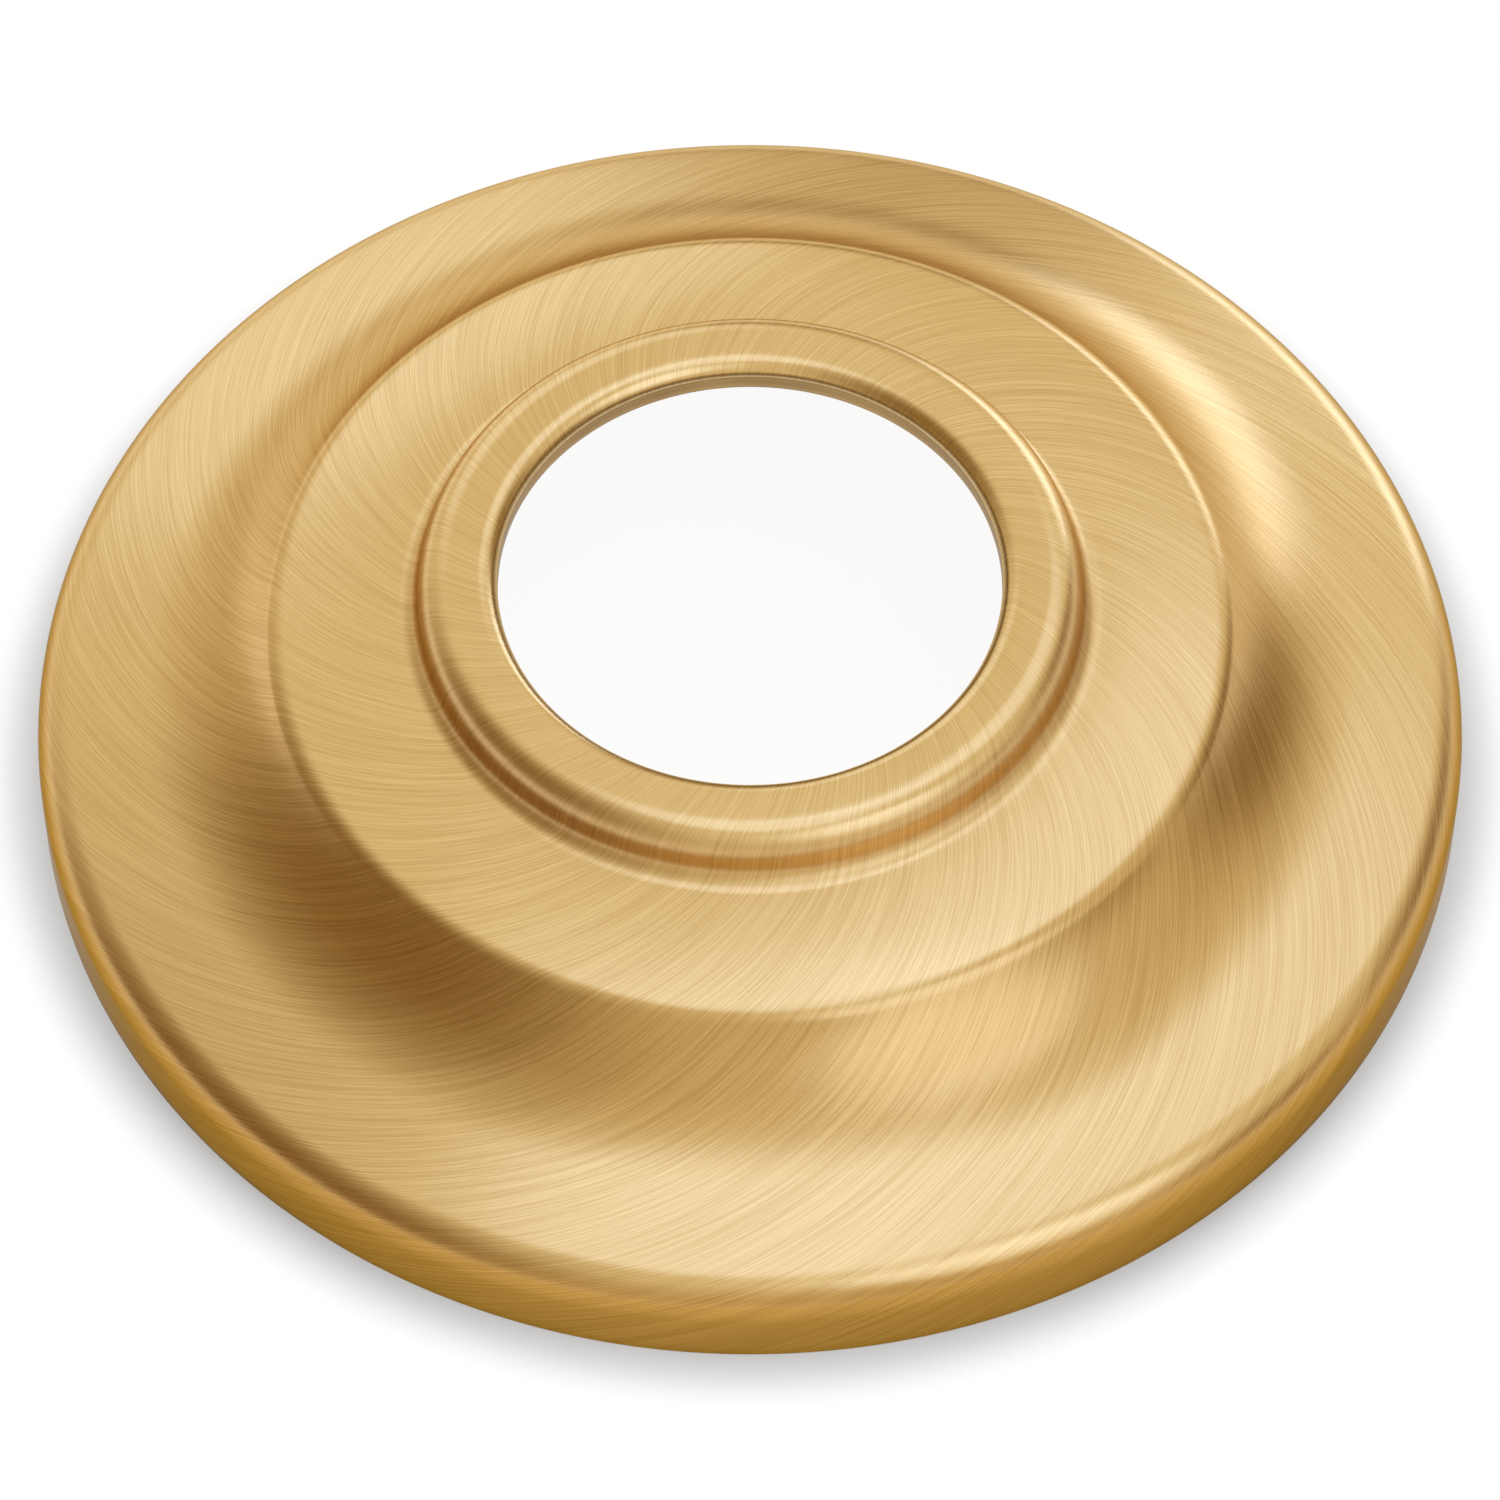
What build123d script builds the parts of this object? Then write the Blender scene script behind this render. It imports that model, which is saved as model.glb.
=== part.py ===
from build123d import *
import os
from math import cos, radians, tan

# Shower arm flange, pressed in one piece from sheet. All sizes are millimetres, angles are degrees.
# The rim stands on the wall at z = 0, and +Z points out of the wall, along the shower arm.

# Main sizes
rim_radius = 31.75
bore_radius = 11.0
sheet_thickness = 0.7

# Rim: an upright wall, rolled over a soft shoulder into a straight skirt
rim_wall_height = 2.65
shoulder_inside_bend = 1.35
skirt_slope = 17.5
skirt_share = 0.34  # part of the way from the shoulder to the crest that is straight; the rest is the cove

# Crest: the ridge between the hollow cove that ends the skirt and the field inside it
crest_radius = 20.95
crest_height = 9.9
crest_inside_bend = 0.25

# Field: the slightly domed face that rises from the crest to the foot of the collar
field_rise = 0.8
field_bulge = 0.16

# Collar: the raised ring round the bore, with a small fillet at its foot
collar_radius = 14.3
collar_step = 2.45
collar_draft = 8.0
collar_inside_bend = 0.2
collar_foot_fillet = 0.6

# Lip: the sheet turned back down into the bore
lip_depth = 1.5
lip_inside_bend = 0.2


def outside_bend(inside_bend):
    return inside_bend + sheet_thickness


def round_corner(line, corner, radius):
    vertex = line.vertices().sort_by_distance(corner)[0]
    return line.fillet_2d(radius, [vertex])


def outer_line():
    # The visible face in half section, from the cut edge of the rim to the cut edge of the lip
    collar_foot_height = crest_height + field_rise
    collar_height = collar_foot_height + collar_step
    crest = (crest_radius, crest_height)
    collar_foot = (collar_radius + collar_step * tan(radians(collar_draft)), collar_foot_height)
    collar_edge = (collar_radius, collar_height)
    lip_edge = (bore_radius, collar_height)
    lip_end = (bore_radius, collar_height - lip_depth)

    rim_wall = Line((rim_radius, 0), (rim_radius, rim_wall_height))
    shoulder = JernArc(rim_wall @ 1, rim_wall % 1, outside_bend(shoulder_inside_bend), 90 - skirt_slope)
    skirt_run = skirt_share * ((shoulder @ 1).X - crest_radius)
    skirt = PolarLine(shoulder @ 1, skirt_run / cos(radians(skirt_slope)), direction=shoulder % 1)
    cove = TangentArc(skirt @ 1, crest, tangent=skirt % 1)
    field = SagittaArc(crest, collar_foot, -field_bulge)
    inner_run = Polyline(collar_foot, collar_edge, lip_edge, lip_end)
    line = Wire([rim_wall, shoulder, skirt, cove, field, *inner_run.edges()])

    line = round_corner(line, crest, outside_bend(crest_inside_bend))
    line = round_corner(line, collar_foot, collar_foot_fillet)
    line = round_corner(line, collar_edge, outside_bend(collar_inside_bend))
    return round_corner(line, lip_edge, outside_bend(lip_inside_bend))


def flange():
    section = make_face(outer_line().offset_2d(sheet_thickness, side=Side.LEFT).edges())
    return revolve(Plane.XZ * section, axis=Axis.Z)


os.makedirs("parts", exist_ok=True)
export_step(flange(), "parts/flange.step")
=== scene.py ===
import bpy
import bmesh
from math import cos, pi, radians, sin, tan
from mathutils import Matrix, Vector


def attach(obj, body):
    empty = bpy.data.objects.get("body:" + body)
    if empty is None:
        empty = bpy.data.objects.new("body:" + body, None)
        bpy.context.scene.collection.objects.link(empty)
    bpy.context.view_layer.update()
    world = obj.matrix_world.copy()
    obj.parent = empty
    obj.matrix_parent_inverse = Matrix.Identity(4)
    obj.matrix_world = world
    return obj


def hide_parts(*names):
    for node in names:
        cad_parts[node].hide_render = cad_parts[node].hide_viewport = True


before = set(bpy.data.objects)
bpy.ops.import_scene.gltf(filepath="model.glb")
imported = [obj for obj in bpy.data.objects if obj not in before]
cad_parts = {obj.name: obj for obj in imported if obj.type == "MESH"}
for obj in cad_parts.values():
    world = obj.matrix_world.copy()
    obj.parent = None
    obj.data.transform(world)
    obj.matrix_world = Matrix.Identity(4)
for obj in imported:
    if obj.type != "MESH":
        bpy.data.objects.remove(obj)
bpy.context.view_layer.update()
scene = bpy.context.scene
mm = 0.001


# Camera, straight over the near side of the rim
shot = {
    "elevation": 55.40,     # degrees above the wall plane
    "distance": 320.0,      # mm from the aim point
    "aimHeight": -0.80,     # mm
    "pixelsPerMm": 22.187,  # at the aim point
    "pictureWidth": 1500,   # pixels
    "sensor": 36.0,         # mm
    "clip": (0.01, 20),     # metres
}


def placeCamera():
    tilt = radians(shot["elevation"])
    aim = Vector((0, 0, shot["aimHeight"] * mm))
    data = bpy.data.cameras.new("photoCamera")
    data.sensor_width = shot["sensor"]
    data.lens = shot["pixelsPerMm"] * shot["distance"] / shot["pictureWidth"] * shot["sensor"]
    data.clip_start, data.clip_end = shot["clip"]
    camera = bpy.data.objects.new("photoCamera", data)
    camera.location = aim + Vector((0, -cos(tilt), sin(tilt))) * shot["distance"] * mm
    camera.rotation_euler = (aim - camera.location).to_track_quat("-Z", "Y").to_euler()
    scene.collection.objects.link(camera)
    scene.camera = camera


placeCamera()
print("camera placed")


# Small helpers for shader trees
noiseRange = (0.3, 0.7)  # where most values of a noise texture lie


def addNode(tree, kind, **settings):
    node = tree.nodes.new(kind)
    for name, value in settings.items():
        setattr(node, name, value)
    return node


def plug(tree, socket, value):
    if isinstance(value, bpy.types.NodeSocket):
        tree.links.new(value, socket)
    else:
        socket.default_value = value


def calc(tree, operation, a, b=0.0, c=0.0):
    node = addNode(tree, "ShaderNodeMath", operation=operation)
    for socket, value in zip(node.inputs, (a, b, c)):
        plug(tree, socket, value)
    return node.outputs[0]


def vecCalc(tree, operation, a, b=(0, 0, 0), result="Vector"):
    node = addNode(tree, "ShaderNodeVectorMath", operation=operation)
    plug(tree, node.inputs[0], a)
    plug(tree, node.inputs[1], b)
    return node.outputs[result]


def scaleVector(tree, vector, share):
    node = addNode(tree, "ShaderNodeVectorMath", operation="SCALE")
    plug(tree, node.inputs[0], vector)
    plug(tree, node.inputs["Scale"], share)
    return node.outputs[0]


def splitVector(tree, vector):
    node = addNode(tree, "ShaderNodeSeparateXYZ")
    plug(tree, node.inputs[0], vector)
    return node.outputs


def combine(tree, x, y, z):
    node = addNode(tree, "ShaderNodeCombineXYZ")
    for socket, value in zip(node.inputs, (x, y, z)):
        plug(tree, socket, value)
    return node.outputs[0]


def noiseAt(tree, vector, detail=2.0, rough=0.5):
    node = addNode(tree, "ShaderNodeTexNoise", noise_dimensions="3D")
    plug(tree, node.inputs["Vector"], vector)
    node.inputs["Scale"].default_value = 1.0
    node.inputs["Detail"].default_value = detail
    node.inputs["Roughness"].default_value = rough
    return node.outputs[0]


def rampOf(tree, value, stops):
    node = addNode(tree, "ShaderNodeValToRGB")
    band = node.color_ramp
    while len(band.elements) < len(stops):
        band.elements.new(0.5)
    for element, (place, tint) in zip(band.elements, stops):
        element.position = place
        element.color = (*tint, 1)
    plug(tree, node.inputs[0], value)
    return node.outputs[0]


def remap(tree, value, low, high, toLow, toHigh):
    node = addNode(tree, "ShaderNodeMapRange")
    for socket, number in zip(node.inputs, (value, low, high, toLow, toHigh)):
        plug(tree, socket, number)
    return node.outputs[0]


def blendTint(tree, share, start, end):
    node = addNode(tree, "ShaderNodeMix", data_type="RGBA")
    plug(tree, node.inputs["Factor"], share)
    for socket, tint in zip((node.inputs[6], node.inputs[7]), (start, end)):
        plug(tree, socket, (*tint, 1) if isinstance(tint, tuple) else tint)
    return node.outputs[2]


def spreadRoughness(tree, noise, look):
    middle, spread = look["roughness"], look["roughnessSpread"]
    return remap(tree, noise, *noiseRange, middle - spread, middle + spread)


def addBump(tree, shader, height, strength, depth):
    bump = addNode(tree, "ShaderNodeBump")
    bump.inputs["Strength"].default_value = strength
    bump.inputs["Distance"].default_value = depth * mm
    plug(tree, bump.inputs["Height"], height)
    plug(tree, shader.inputs["Normal"], bump.outputs[0])


def planOf(tree, position):
    return vecCalc(tree, "MULTIPLY", position, (1, 1, 0))


def planRadius(tree, position):
    return vecCalc(tree, "LENGTH", planOf(tree, position), result="Value")


def radiusTone(tree, position, stops):
    # A value that follows the distance from the arm's axis, written as radius and value
    first, last = stops[0][0], stops[-1][0]
    share = remap(tree, planRadius(tree, position), first * mm, last * mm, 0.0, 1.0)
    grey = [((place - first) / (last - first), (value, value, value)) for place, value in stops]
    return rampOf(tree, share, grey)


def newMaterial(name):
    material = bpy.data.materials.new(name)
    material.use_nodes = True
    tree = material.node_tree
    return material, tree, tree.nodes["Principled BSDF"]


# Brushed gold: fine strokes that leave the bore and lean over clockwise towards the rim
brushLook = {
    "goldDark": (0.755, 0.525, 0.258),  # open faces, the darker and the paler strokes
    "goldPale": (0.905, 0.675, 0.365),
    "paintedShadeDark": (0.47, 0.25, 0.052),    # painted shade: darker gold in the collar's groove, the cove and on the rim wall, for the darker and the paler strokes
    "paintedShadePale": (0.605, 0.33, 0.080),
    "edgeTint": (0.72, 0.60, 0.40),     # how golden the metal stays when seen at a low angle
    "roughness": 0.25,
    "roughnessSpread": 0.03,
    "grooveRoughness": 0.16,            # more of it in the groove round the collar
    "anisotropic": 0.40,
    "anisotropicTurn": 0.25,
    "sweep": 0.3045,                    # radians that a stroke turns by the collar's ring
    "sweepPower": 1.675,                # how fast the turn grows with the radius
    "ringRadius": 12.74,                # mm
    "crossing": 0.88,                   # the thin strokes' share of the sweep
    "rimLevel": 4.6,                    # mm, below it the strokes lean on down the rim wall
    "rimLean": 0.8,
    "leastUpright": 0.6,                # keeps the strokes' direction steady on steep faces
    # noise steps round the axis and per mm along a stroke
    "fine": {"scale": (270, 270, 0.12), "rough": 0.6, "share": 0.50},
    "thin": {"scale": (190, 190, 0.15), "rough": 0.6, "share": 0.35},
    "broad": {"scale": (90, 90, 0.08), "rough": 0.5, "share": 0.15},
    "toneRange": (0.42, 0.58),          # narrower for more contrast between strokes
    "strokeDepth": 0.004,               # mm
    "thinDepth": 0.5,                   # of the fine strokes' depth
    # radius in mm and how much painted shade is there
    "paintedShadeRings": ((13.9, 0.0), (14.35, 0.4), (14.6, 0.4), (15.0, 0.0),
                 (20.4, 0.0), (21.3, 0.46), (23.4, 0.46), (25.0, 0.25),
                 (26.5, 0.0), (30.9, 0.0), (31.3, 0.6), (31.6, 1.0)),
    # radius in mm and the share of the groove's roughness
    "groove": ((13.9, 0.0), (14.3, 1.0), (14.8, 1.0), (15.4, 0.0)),
}


def strokeTurn(tree, radius):
    turn = calc(tree, "DIVIDE", radius, brushLook["ringRadius"] * mm)
    return calc(tree, "POWER", turn, brushLook["sweepPower"])


def strokeCoordinates(tree, position, sweep):
    # x and y stay the same along a stroke and change across it, z runs along it in mm
    x, y, z = splitVector(tree, position)
    radius = planRadius(tree, position)
    drop = calc(tree, "MAXIMUM", calc(tree, "SUBTRACT", brushLook["rimLevel"] * mm, z), 0.0)
    outward = calc(tree, "MULTIPLY_ADD", drop, brushLook["rimLean"], radius)
    around = calc(tree, "MULTIPLY_ADD", strokeTurn(tree, outward), sweep, calc(tree, "ARCTAN2", y, x))
    along = calc(tree, "DIVIDE", calc(tree, "SUBTRACT", radius, z), mm)
    return combine(tree, calc(tree, "COSINE", around), calc(tree, "SINE", around), along)


def strokeDirection(tree, position):
    # The stroke's own direction, lifted from the plan on to the surface
    outward = vecCalc(tree, "NORMALIZE", planOf(tree, position))
    side = vecCalc(tree, "CROSS_PRODUCT", (0, 0, 1), outward)
    turn = strokeTurn(tree, planRadius(tree, position))
    lean = calc(tree, "MULTIPLY", turn, -brushLook["sweep"] * brushLook["sweepPower"])
    plan = vecCalc(tree, "NORMALIZE", vecCalc(tree, "ADD", outward, scaleVector(tree, side, lean)))
    normal = addNode(tree, "ShaderNodeNewGeometry").outputs["Normal"]
    upright = calc(tree, "MAXIMUM", splitVector(tree, normal)[2], brushLook["leastUpright"])
    drop = calc(tree, "DIVIDE", vecCalc(tree, "DOT_PRODUCT", plan, normal, "Value"), upright)
    return vecCalc(tree, "SUBTRACT", plan, combine(tree, 0.0, 0.0, drop))


def strokeNoise(tree, coordinates, strokes):
    return noiseAt(tree, vecCalc(tree, "MULTIPLY", coordinates, strokes["scale"]), rough=strokes["rough"])


def makeBrushedGold():
    look = brushLook
    material, tree, shader = newMaterial("brushedGold")
    position = addNode(tree, "ShaderNodeTexCoord").outputs["Object"]
    main = strokeCoordinates(tree, position, look["sweep"])
    crossing = strokeCoordinates(tree, position, look["sweep"] * look["crossing"])
    fine = strokeNoise(tree, main, look["fine"])
    thin = strokeNoise(tree, crossing, look["thin"])
    broad = strokeNoise(tree, main, look["broad"])

    tone = 0.0
    for kind, strokes in (("fine", fine), ("thin", thin), ("broad", broad)):
        tone = calc(tree, "MULTIPLY_ADD", strokes, look[kind]["share"], tone)
    stroke = remap(tree, tone, *look["toneRange"], 0.0, 1.0)
    # painted shade: darker gold in the collar's groove, the cove and on the rim wall, where the
    # reflections are darker
    depth = radiusTone(tree, position, look["paintedShadeRings"])
    dark = blendTint(tree, depth, look["goldDark"], look["paintedShadeDark"])
    pale = blendTint(tree, depth, look["goldPale"], look["paintedShadePale"])
    plug(tree, shader.inputs["Base Color"], blendTint(tree, stroke, dark, pale))

    groove = radiusTone(tree, position, look["groove"])
    roughness = spreadRoughness(tree, broad, look)
    roughness = calc(tree, "MULTIPLY_ADD", groove, look["grooveRoughness"], roughness)
    plug(tree, shader.inputs["Roughness"], roughness)
    plug(tree, shader.inputs["Metallic"], 1.0)
    plug(tree, shader.inputs["Specular Tint"], (*look["edgeTint"], 1))
    plug(tree, shader.inputs["Anisotropic"], look["anisotropic"])
    plug(tree, shader.inputs["Anisotropic Rotation"], look["anisotropicTurn"])
    plug(tree, shader.inputs["Tangent"], strokeDirection(tree, position))
    height = calc(tree, "MULTIPLY_ADD", thin, look["thinDepth"], fine)
    addBump(tree, shader, height, 1.0, look["strokeDepth"])
    return material


# Drawn sheet: the plain underside, the lip's inner face and the cut edges
drawnLook = {
    "dark": (0.30, 0.18, 0.07),
    "light": (0.52, 0.34, 0.14),
    "toneRange": (0.35, 0.65),
    "roughness": 0.42,
    "roughnessSpread": 0.06,
    "ringSpacing": 0.35,    # mm between the faint rings left by the press
    "ringShare": 0.5,       # of the rings in the tone, the rest is mottle
    "ringStrength": 0.4,
    "ringDepth": 0.01,      # mm
    "mottleScale": 260,     # patches in a metre
    "mottleDetail": 3.0,
    "mottleRough": 0.6,
}


def makeDrawnSheet():
    look = drawnLook
    material, tree, shader = newMaterial("drawnSheet")
    position = addNode(tree, "ShaderNodeTexCoord").outputs["Object"]
    along = calc(tree, "SUBTRACT", planRadius(tree, position), splitVector(tree, position)[2])
    step = calc(tree, "DIVIDE", along, look["ringSpacing"] * mm)
    rings = noiseAt(tree, combine(tree, step, 0.0, 0.0))
    patches = scaleVector(tree, position, look["mottleScale"])
    mottle = noiseAt(tree, patches, look["mottleDetail"], look["mottleRough"])
    tone = calc(tree, "MULTIPLY", mottle, 1 - look["ringShare"])
    tone = calc(tree, "MULTIPLY_ADD", rings, look["ringShare"], tone)
    tints = tuple(zip(look["toneRange"], (look["dark"], look["light"])))
    plug(tree, shader.inputs["Base Color"], rampOf(tree, tone, tints))
    plug(tree, shader.inputs["Roughness"], spreadRoughness(tree, mottle, look))
    plug(tree, shader.inputs["Metallic"], 1.0)
    addBump(tree, shader, rings, look["ringStrength"], look["ringDepth"])
    return material


brushedGold = makeBrushedGold()
drawnSheet = makeDrawnSheet()
print("finishes made")


# Flange: one line bent as the press bends the sheet, then spun round the arm's axis
flangeForm = {
    "rimRadius": 31.75,     # mm, as are the lengths and radii below
    "sheet": 0.7,
    "lipRadius": 11.02,     # faces nearer the axis have the plain finish
    "edgeRound": 0.08,
    "edgeAngle": 50.0,      # degrees, sharper edges are rounded
    "edgePieces": 2,
    "mergeReach": 0.001,
    "turns": 320,
    # straight: length, pieces; bend (out) and hollow (in): radius, degrees, pieces
    "run": (
        ("straight", 2.65, 4),            # rim wall
        ("bend", 2.05, 72.5, 18),         # shoulder
        ("straight", 3.339, 5),           # skirt
        ("hollow", 12.678, 32.2983, 24),  # cove
        ("bend", 1.5, 37.7971, 14),       # crest
        ("bend", 31.644, 9.1396, 14),     # field
        ("hollow", 0.95, 79.1384, 18),    # foot of the collar
        ("straight", 0.3776, 2),          # collar wall
        ("bend", 1.5, 82.0, 20),          # collar edge
        ("straight", 1.0961, 3),          # flat ring
        ("bend", 0.9, 90.0, 16),          # lip's edge
        ("straight", 0.6, 2),             # lip
    ),
}


def drawRun(bm, form):
    pen = bm.verts.new((form["rimRadius"] * mm, 0, 0))
    heading = 90.0
    for kind, *sizes in form["run"]:
        ahead = Vector((cos(radians(heading)), 0, sin(radians(heading))))
        left = Vector((-ahead.z, 0, ahead.x))
        if kind == "straight":
            length, pieces = sizes
            for piece in range(pieces):
                pen = bmesh.ops.extrude_vert_indiv(bm, verts=[pen])["verts"][0]
                bmesh.ops.translate(bm, verts=[pen], vec=ahead * length * mm / pieces)
            continue
        radius, turn, pieces = sizes
        hand = 1 if kind == "bend" else -1
        swept = bmesh.ops.spin(bm, geom=[pen], cent=pen.co + left * radius * mm * hand, axis=(0, -hand, 0),
                               angle=radians(turn), steps=pieces)
        pen = [item for item in swept["geom_last"] if isinstance(item, bmesh.types.BMVert)][0]
        heading += turn * hand


def makeFlange():
    form = flangeForm
    bm = bmesh.new()
    drawRun(bm, form)
    bmesh.ops.spin(bm, geom=bm.verts[:] + bm.edges[:], cent=(0, 0, 0), axis=(0, 0, 1), angle=2 * pi,
                   steps=form["turns"], use_merge=True)
    bmesh.ops.remove_doubles(bm, verts=bm.verts[:], dist=form["mergeReach"] * mm)
    bmesh.ops.recalc_face_normals(bm, faces=bm.faces[:])
    highest = max(bm.faces, key=lambda face: face.calc_center_median().z)
    if highest.normal.z < 0:
        bmesh.ops.reverse_faces(bm, faces=bm.faces[:])
    for face in bm.faces:
        face.smooth = True
        inLip = face.calc_center_median().xy.length < form["lipRadius"] * mm
        face.material_index = 1 if inLip else 0
    mesh = bpy.data.meshes.new("flangeShell")
    bm.to_mesh(mesh)
    bm.free()
    mesh.materials.append(brushedGold)
    mesh.materials.append(drawnSheet)
    shell = bpy.data.objects.new("flangeShell", mesh)
    scene.collection.objects.link(shell)

    wall = shell.modifiers.new("sheetThickness", "SOLIDIFY")
    wall.thickness = form["sheet"] * mm
    wall.offset = -1
    wall.use_even_offset = True
    wall.use_quality_normals = True
    wall.material_offset = 1
    wall.material_offset_rim = 1
    edge = shell.modifiers.new("cutEdges", "BEVEL")
    edge.width = form["edgeRound"] * mm
    edge.segments = form["edgePieces"]
    edge.limit_method = "ANGLE"
    edge.angle_limit = radians(form["edgeAngle"])
    return shell


flange = makeFlange()
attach(flange, "root")
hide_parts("flange")
print("flange made,", len(flange.data.polygons), "faces before its thickness")


# Floor and light
studio = {
    "floorSize": 3.0,       # metres
    "floorDrop": 0.02,      # mm below the rim's edge
    "floorTint": (0.10, 0.10, 0.10),
    "floorRoughness": 0.9,
    "floorShine": 0.1,
    "floorGlow": 0.93,      # white that the camera and the metal see, and the lamps add the rest
    "contactReach": 2.6,    # mm, how far the shadow round the rim reaches
    "contactShade": 0.45,   # glow that is left right at the rim
    "mirrorReach": 12.0,    # the same two for the floor that the metal mirrors
    "mirrorShade": 0.50,
    "cornerLight": 0.5,     # share of open sky right at an upright wall
    "shadowRays": 4,
    "room": (0.78, 0.71, 0.50),
    "shade": (0.20, 0.10, 0.0),
    # darker parts of the room: azimuth, elevation, reach in degrees, share of the shade
    "darkSides": (
        (198, 20, 56, 0.86),
        (19, 10, 25, 0.88),
        (342, 0, 20, 0.95),
        (84, 2, 18, 0.75),
    ),
    "reach": 0.6,           # metres from the flange to each lamp
    "wattsPerArea": 4,      # that make a lamp look as bright as a world of strength 1
    # azimuth, elevation and width in degrees, brightness, tint
    "lamps": (
        ("overhead", 296, 85, 38, 0.60, (0.42, 0.60, 1.0)),
        ("topRight", 38, 60, 40, 0.46, (0.42, 0.60, 1.0)),
        ("backRight", 58, 2, 32, 1.70, (0.48, 0.64, 1.0)),
        ("frontRight", 308, 36, 40, 0.80, (0.48, 0.65, 1.0)),
        ("backLeft", 108, 27, 34, 0.42, (0.45, 0.63, 1.0)),
    ),
}


def floorShade(tree, reach, shade):
    # 1 away from the flange, less where the flange closes over the floor
    corner = addNode(tree, "ShaderNodeAmbientOcclusion", samples=studio["shadowRays"])
    corner.inputs["Distance"].default_value = studio[reach] * mm
    return remap(tree, corner.outputs["AO"], studio["cornerLight"], 1.0, studio[shade], 1.0)


def makeFloor():
    bm = bmesh.new()
    bmesh.ops.create_grid(bm, x_segments=1, y_segments=1, size=studio["floorSize"] / 2)
    mesh = bpy.data.meshes.new("studioFloor")
    bm.to_mesh(mesh)
    bm.free()
    floor = bpy.data.objects.new("studioFloor", mesh)
    floor.location.z = -studio["floorDrop"] * mm
    scene.collection.objects.link(floor)
    material, tree, shader = newMaterial("floorPaint")
    plug(tree, shader.inputs["Base Color"], (*studio["floorTint"], 1))
    plug(tree, shader.inputs["Roughness"], studio["floorRoughness"])
    plug(tree, shader.inputs["Specular IOR Level"], studio["floorShine"])
    rays = addNode(tree, "ShaderNodeLightPath").outputs
    contact = floorShade(tree, "contactReach", "contactShade")
    inMetal = floorShade(tree, "mirrorReach", "mirrorShade")
    mirrored = calc(tree, "MAXIMUM", rays["Is Glossy Ray"], rays["Is Transmission Ray"])
    seen = calc(tree, "MULTIPLY", rays["Is Camera Ray"], contact)
    seen = calc(tree, "MULTIPLY_ADD", mirrored, inMetal, seen)
    plug(tree, shader.inputs["Emission Color"], (1, 1, 1, 1))
    plug(tree, shader.inputs["Emission Strength"], calc(tree, "MULTIPLY", seen, studio["floorGlow"]))
    mesh.materials.append(material)


def directionOf(azimuth, elevation):
    flat, rise = radians(azimuth), radians(elevation)
    return Vector((cos(flat) * cos(rise), sin(flat) * cos(rise), sin(rise)))


def makeLamp(name, azimuth, elevation, width, bright, tint):
    data = bpy.data.lights.new(name, "AREA")
    data.shape = "DISK"
    data.size = 2 * studio["reach"] * tan(radians(width / 2))
    area = pi * data.size ** 2 / 4
    data.energy = bright * area * studio["wattsPerArea"]
    data.color = tint
    lamp = bpy.data.objects.new(name, data)
    lamp.location = directionOf(azimuth, elevation) * studio["reach"]
    lamp.rotation_euler = (-lamp.location).to_track_quat("-Z", "Y").to_euler()
    scene.collection.objects.link(lamp)


def makeSurroundings():
    world = bpy.data.worlds.new("softRoom")
    world.use_nodes = True
    tree = world.node_tree
    way = addNode(tree, "ShaderNodeTexCoord").outputs["Generated"]
    light = studio["room"]
    for azimuth, elevation, reach, share in studio["darkSides"]:
        toSide = vecCalc(tree, "DOT_PRODUCT", way, directionOf(azimuth, elevation), "Value")
        nearness = remap(tree, toSide, cos(radians(reach)), 1.0, 0.0, share)
        nearness.node.interpolation_type = "SMOOTHSTEP"
        light = blendTint(tree, nearness, light, studio["shade"])
    plug(tree, tree.nodes["Background"].inputs["Color"], light)
    scene.world = world


makeFloor()
for lampSettings in studio["lamps"]:
    makeLamp(*lampSettings)
makeSurroundings()
scene.view_settings.view_transform = "Standard"
print("floor and", len(studio["lamps"]), "lamps set")
